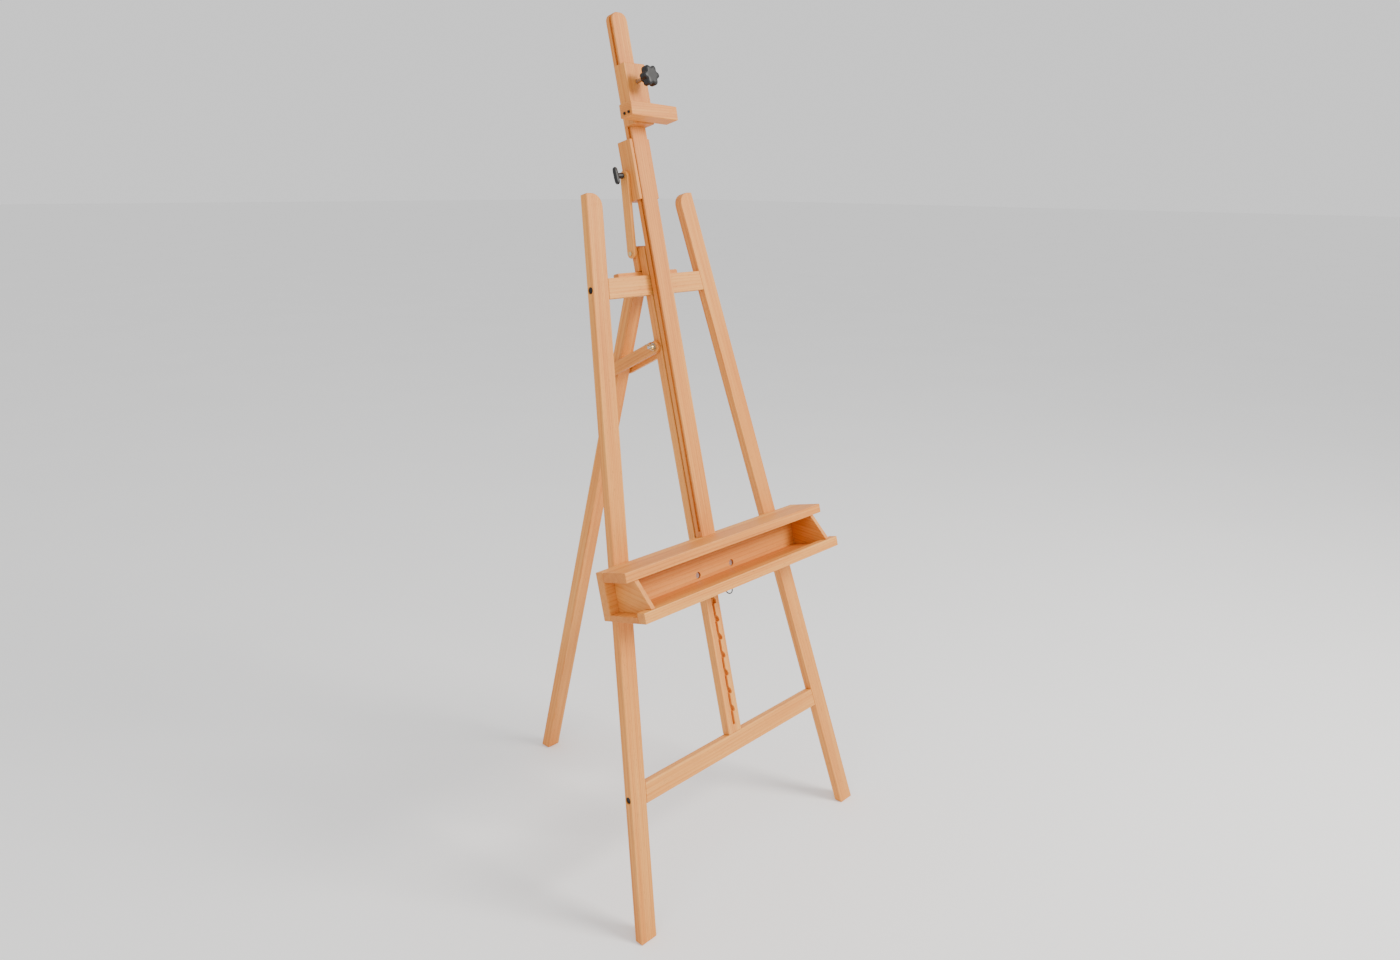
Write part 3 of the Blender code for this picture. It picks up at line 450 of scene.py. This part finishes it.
def star_knob():
    """Radius(angle, level) = width(level) * (1 - dip(level) * ((1 - cos(6 * angle)) / 2) ^ 1.2)."""
    centre = Vector(joints["clamp_knob_turn"]["pos_m"])
    solid = corners_of("clamp_knob")
    reach = solid @ np.array(THROUGH) - centre.dot(THROUGH)
    widest = np.abs((solid - np.array(centre)) @ np.array(ACROSS)).max()
    front, back = reach.min(), reach.max()
    level, width, lobe = np.array(STAR_PROFILE).T
    angle = np.linspace(0, 2 * pi, 24 * LOBES, endpoint=False)
    swell = ((1 - np.cos(LOBES * angle))[None, :] / 2) ** 1.2
    star = 1 - LOBE_DIP * lobe[:, None] * swell
    radius = widest * width[:, None] * star
    depth = np.repeat((front + (back - front) * level)[:, None], len(angle), 1)
    rings = frame_points(centre, ACROSS, SLOPE, THROUGH, radius * np.cos(angle), radius * np.sin(angle),
                         depth)
    knob = skin("star_knob", rings, plastic, "clamp_knob")
    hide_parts("clamp_knob")
    return knob


star = star_knob()
print("star knob", len(star.data.polygons), "faces")

# %% [markdown]
# The knob on the tilt arms is a T: a short round neck that swells into a cross bar. Along the bar each
# section is a rounded square, a superellipse, that shrinks at the two tips so that the ends are domed.
# The neck is a second small surface, sunk into the bar.

# %% T knob
BAR_THICK = 0.009
BAR_REACH = 0.0172
BAR_SIDES = 48
BAR_SQUARENESS = 3.4


def superellipse(angle, power):
    """x = sign(cos) |cos|^(2/power), y likewise with sin: a circle at power 2, nearly square at 5."""
    c, s = np.cos(angle), np.sin(angle)
    return np.sign(c) * np.abs(c) ** (2 / power), np.sign(s) * np.abs(s) ** (2 / power)


def turned(name, centre, axis, side, outline, finish, body, columns=48):
    """A turned piece: each (distance, radius) of the outline is one ring about the axis."""
    outline = np.array(outline)
    angle = np.linspace(0, 2 * pi, columns, endpoint=False)
    other = axis.cross(side)
    x = outline[:, 1][:, None] * np.cos(angle)
    y = outline[:, 1][:, None] * np.sin(angle)
    z = np.repeat(outline[:, 0][:, None], columns, 1)
    return skin(name, frame_points(centre, side, other, axis, x, y, z), finish, body)


def widest_way(points, centre):
    """The direction, square to the X axis, in which a turning piece reaches furthest from its axis."""
    offset = points - np.array(centre)
    offset[:, 0] = 0
    return Vector(offset[np.argmax((offset ** 2).sum(1))]).normalized()


def t_knob():
    """A bar whose sections shrink as (1 - |step|^7)^0.35 towards its tips, on a turned neck."""
    centre = Vector(joints["arm_knob_turn"]["pos_m"])
    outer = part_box("arm_knob")[0].x
    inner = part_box("arm_knob")[1].x
    points = corners_of("arm_knob")
    bar = widest_way(points[points[:, 0] < outer + BAR_THICK], centre)
    side = ACROSS.cross(bar)
    step = np.linspace(-1, 1, 33)
    shrink = np.maximum(1 - np.abs(step) ** 7, 0.0) ** 0.35 * (1 - 0.10 * np.abs(step) ** 2)
    shrink[0] = shrink[-1] = 0.30
    x, y = superellipse(np.linspace(0, 2 * pi, BAR_SIDES, endpoint=False), BAR_SQUARENESS)
    middle = Vector((outer + BAR_THICK / 2, centre.y, centre.z))
    half = BAR_THICK / 2 * shrink[:, None]
    rings = frame_points(middle, ACROSS, side, bar, half * x[None, :], 1.1 * half * y[None, :],
                         np.repeat((BAR_REACH * step)[:, None], BAR_SIDES, 1))
    grip = skin("t_knob_bar", rings, plastic, "arm_knob")
    hub = Vector((inner, centre.y, centre.z))
    into_bar = inner - outer - BAR_THICK / 2
    profile = [(0, 0.0050), (0.0004, 0.0057), (0.0012, 0.0060), (0.005, 0.0059), (0.009, 0.0054),
               (0.012, 0.0050), (into_bar, 0.0042)]
    neck = turned("t_knob_neck", hub, -ACROSS, bar, profile, plastic, "arm_knob")
    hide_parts("arm_knob")
    return grip, neck


print("T knob", [piece.name for piece in t_knob()])

# %% [markdown]
# A wing nut is cast in one piece: a coned hub and two ears that sweep outwards and away from the wood. Each
# ear is a flattened tube carried along a curved spine, widest near its end, thin at the tip so that it
# feels rounded. The hub is a turned outline.

# %% Wing nut
EAR_START = 0.0032  # out from the hub's axis
EAR_REACH = 0.0090
EAR_FOOT = 0.0030  # above the hub's seat
EAR_RISE = 0.0078
EAR_THICK = 0.00125
HUB_PROFILE = [(0, 0.0052), (0.0003, 0.0058), (0.0010, 0.0060), (0.0045, 0.0056), (0.0066, 0.0050),
               (0.0077, 0.0045), (0.0080, 0.0041)]


def wing_nut():
    """Spine(t) = (start + reach t, foot + rise t^1.5). The ear's width swells as a sine and closes as a
    half ellipse, and its thickness tapers in the same way."""
    centre = Vector(joints["wing_nut_turn"]["pos_m"])
    seat = Vector((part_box("wing_nut")[1].x, centre.y, centre.z))
    far = widest_way(corners_of("wing_nut"), centre)
    hub = turned("wing_nut_hub", seat, -ACROSS, far, HUB_PROFILE, brass, "wing_nut")
    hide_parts("wing_nut")
    t = np.linspace(0, 1, 21)
    out = EAR_START + EAR_REACH * t
    rise = EAR_FOOT + EAR_RISE * t ** 1.5
    swell = np.sin(pi * np.clip(t * 1.05, 0, 1)) ** 1.2
    wide = (0.0024 + 0.0022 * swell) * np.sqrt(np.clip(1 - t ** 6, 0.02, 1))
    thin = EAR_THICK * (1 - 0.35 * t) * np.sqrt(np.clip(1 - t ** 8, 0.04, 1))
    angle = np.linspace(0, 2 * pi, 24, endpoint=False)
    slant = np.arctan2(EAR_RISE * 1.5 * np.sqrt(t), EAR_REACH)
    pieces = [hub]
    for side, word in ((-1, "low"), (1, "high")):
        x = rise[:, None] + wide[:, None] * np.cos(angle) * np.cos(slant)[:, None]
        y = side * (out[:, None] - wide[:, None] * np.cos(angle) * np.sin(slant)[:, None])
        z = thin[:, None] * np.sin(angle)
        rings = frame_points(seat, -ACROSS, far, ACROSS.cross(far), x, y, z)
        pieces.append(skin(f"wing_nut_ear_{word}", rings, brass, "wing_nut"))
    return pieces


print("wing nut", [piece.name for piece in wing_nut()])

# %% [markdown]
# The pull ring is a bent steel wire, a circle carried round a circle. The place and the tilt come from the
# solid ring, so that it still hangs through its hole in the pawl.

# %% Pull ring
RING_RADIUS = 0.010
WIRE_RADIUS = 0.00118


def pull_ring():
    """Point(a, b) = centre + (R + r cos b)(cos a, sin a) in the ring's plane + r sin b across it."""
    low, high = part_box("pull_ring")
    centre = (low + high) / 2
    a = np.linspace(0, 2 * pi, 96, endpoint=False)[:, None]
    b = np.linspace(0, 2 * pi, 20, endpoint=False)[None, :]
    radius = RING_RADIUS + WIRE_RADIUS * np.cos(b)
    rings = frame_points(centre, THROUGH, SLOPE, ACROSS, radius * np.cos(a), radius * np.sin(a),
                         WIRE_RADIUS * np.sin(b) + 0 * a)
    ring = skin("steel_pull_ring", rings, black_steel, "pawl", closed_path=True)
    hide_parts("pull_ring")
    return ring


print("pull ring", len(pull_ring().data.polygons), "faces")

# %% [markdown]
# The room is bare: a pale floor that only has to catch soft shadows, and light from all round with a
# stronger share from above the painter's right shoulder. A large lamp makes a broad, gentle shadow, and
# a bright world keeps the shaded sides of the sticks warm rather than black.

# %% Floor and light
FLOOR_HALF = 60


def pale_floor():
    finish = Finish("pale_floor", Roughness=0.85)
    place = finish.position()
    cloud = finish.noise(place, 1.4, 2.0)
    finish.set("Base Color", finish.mix(cloud, (0.90, 0.90, 0.90, 1), (0.94, 0.94, 0.94, 1)))
    mesh = bpy.data.meshes.new("studio_floor")
    corners = [(-FLOOR_HALF, -FLOOR_HALF, 0), (FLOOR_HALF, -FLOOR_HALF, 0), (FLOOR_HALF, FLOOR_HALF, 0),
               (-FLOOR_HALF, FLOOR_HALF, 0)]
    mesh.from_pydata(corners, [], [(0, 1, 2, 3)])
    mesh.materials.append(finish.material)
    floor = bpy.data.objects.new("studio_floor", mesh)
    floor.location.z = -0.0005
    bpy.context.scene.collection.objects.link(floor)
    return floor


def soft_lamp(name, place, aim, size, power, colour=(1, 1, 1)):
    data = bpy.data.lights.new(name, "AREA")
    data.shape = "DISK"
    data.size = size
    data.energy = power
    data.color = colour
    lamp = bpy.data.objects.new(name, data)
    lamp.location = place
    lamp.rotation_euler = (Vector(aim) - Vector(place)).to_track_quat("-Z", "Y").to_euler()
    bpy.context.scene.collection.objects.link(lamp)
    return lamp


def bright_room(strength):
    world = bpy.data.worlds.new("pale_room")
    world.use_nodes = True
    world.node_tree.nodes["Background"].inputs[0].default_value = (1, 1, 1, 1)
    world.node_tree.nodes["Background"].inputs[1].default_value = strength
    bpy.context.scene.world = world


pale_floor()
bright_room(1.0)
soft_lamp("key_lamp", (1.4, -3.2, 3.2), (0, 0, 0.9), 1.6, 190, (1, 0.97, 0.92))
soft_lamp("side_lamp", (-2.8, -1.0, 2.6), (0, 0, 0.9), 2.0, 22)
print("floor, room and two lamps")
